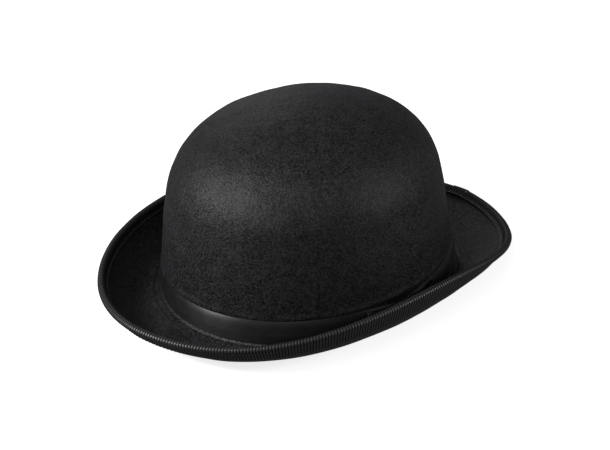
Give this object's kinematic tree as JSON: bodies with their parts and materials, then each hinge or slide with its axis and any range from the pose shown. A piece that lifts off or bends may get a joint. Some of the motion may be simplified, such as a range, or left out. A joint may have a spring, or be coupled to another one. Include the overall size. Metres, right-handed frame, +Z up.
{
  "type": "bowler hat",
  "caption": "Bowler hat: domed felt crown with a rolled brim bound in ribbed ribbon, a satin hatband with a flat side bow, a sweatband and a satin lining.",
  "frame": {"origin": "under the middle of the hat's overall length and width, on the surface that the brim stands on", "axes": "+Z up through the crown, -Y towards the hat's front, +X towards the wearer's left, where the bow is"},
  "size_m": [0.2326, 0.305, 0.1309],
  "materials": {
    "felt": "fuzzy black wool felt, matte",
    "satin_band": "smooth black satin ribbon, soft sheen",
    "grosgrain": "ribbed black grosgrain ribbon",
    "sweatband": "black leather cloth, satin",
    "lining": "dark satin lining, soft sheen",
    "wire": "brim wire, hidden in the binding",
    "reed": "clear plastic reed, hidden in the sweatband"
  },
  "bodies": {
    "root": {"felt_body": "felt", "hatband": "satin_band", "bow_front_loop": "satin_band", "bow_rear_loop": "satin_band", "bow_knot": "satin_band", "brim_binding": "grosgrain", "brim_wire": "wire", "sweatband": "sweatband", "sweatband_reed": "reed", "sweatband_bow": "grosgrain", "lining_wall": "lining", "lining_tip": "lining"}
  },
  "joints": []
}
